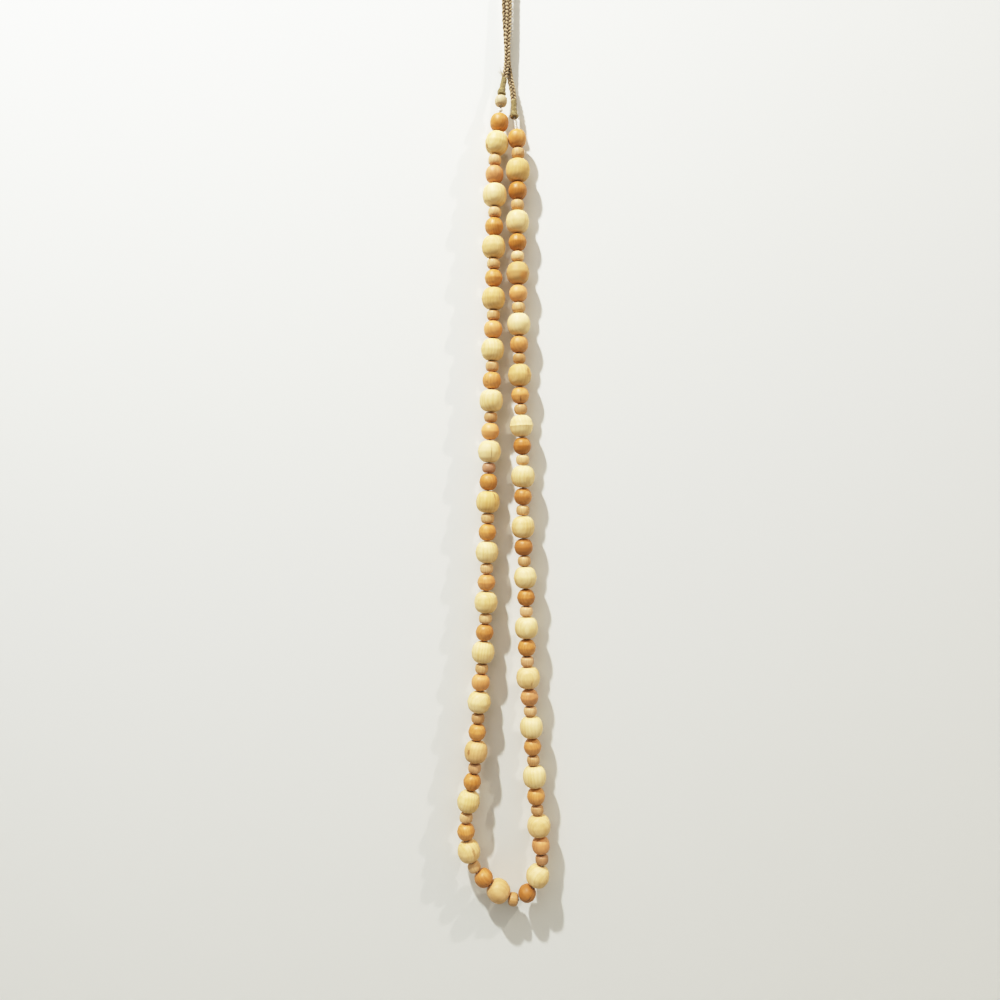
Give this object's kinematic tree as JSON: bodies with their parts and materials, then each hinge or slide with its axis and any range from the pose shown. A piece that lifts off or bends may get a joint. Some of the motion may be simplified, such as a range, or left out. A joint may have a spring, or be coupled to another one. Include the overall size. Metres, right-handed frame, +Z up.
{
  "type": "wooden bead garland with a jute hanging loop",
  "caption": "Long loop of turned wooden beads in three sizes, strung on cotton thread in a repeating order and hung from a narrow loop of plaited jute with bound ends.",
  "frame": {"origin": "underside of the top of the jute loop, where a hook or nail carries the garland", "axes": "+Z up along the hanging strands, +X to the right and -Y to the front as the garland hangs face on against a wall"},
  "size_m": [0.0796, 0.0212, 0.8333],
  "materials": {
    "bead_wood": "turned wood, lightly waxed: cream large beads, honey-coloured medium ones and pinkish small ones",
    "small_bead_wood": "turned pinkish beige wood, matt",
    "medium_bead_wood": "turned honey-coloured wood, soft satin",
    "cotton_thread": "off-white twisted cotton",
    "jute": "plaited natural jute, matt and slightly hairy",
    "bound_jute": "natural jute yarn wound tightly round and round"
  },
  "bodies": {
    "root": {"jute_loop": "jute", "left_binding": "bound_jute", "right_binding": "bound_jute", "thread": "cotton_thread", "first_small_bead": "small_bead_wood", "beads_01": "bead_wood", "beads_02": "bead_wood", "beads_03": "bead_wood", "beads_04": "bead_wood", "beads_05": "bead_wood", "beads_06": "bead_wood", "beads_07": "bead_wood", "beads_08": "bead_wood", "beads_09": "bead_wood", "beads_10": "bead_wood", "beads_11": "bead_wood", "beads_12": "bead_wood", "beads_13": "bead_wood", "beads_14": "bead_wood", "beads_15": "bead_wood", "beads_16": "bead_wood", "beads_17": "bead_wood", "beads_18": "bead_wood", "beads_19": "bead_wood", "beads_20": "bead_wood", "beads_21": "bead_wood", "beads_22": "bead_wood", "beads_23": "bead_wood", "beads_24": "bead_wood", "beads_25": "bead_wood", "beads_26": "bead_wood", "beads_27": "bead_wood", "beads_28": "bead_wood", "beads_29": "bead_wood", "beads_30": "bead_wood", "beads_31": "bead_wood", "last_medium_bead": "medium_bead_wood"}
  },
  "joints": []
}
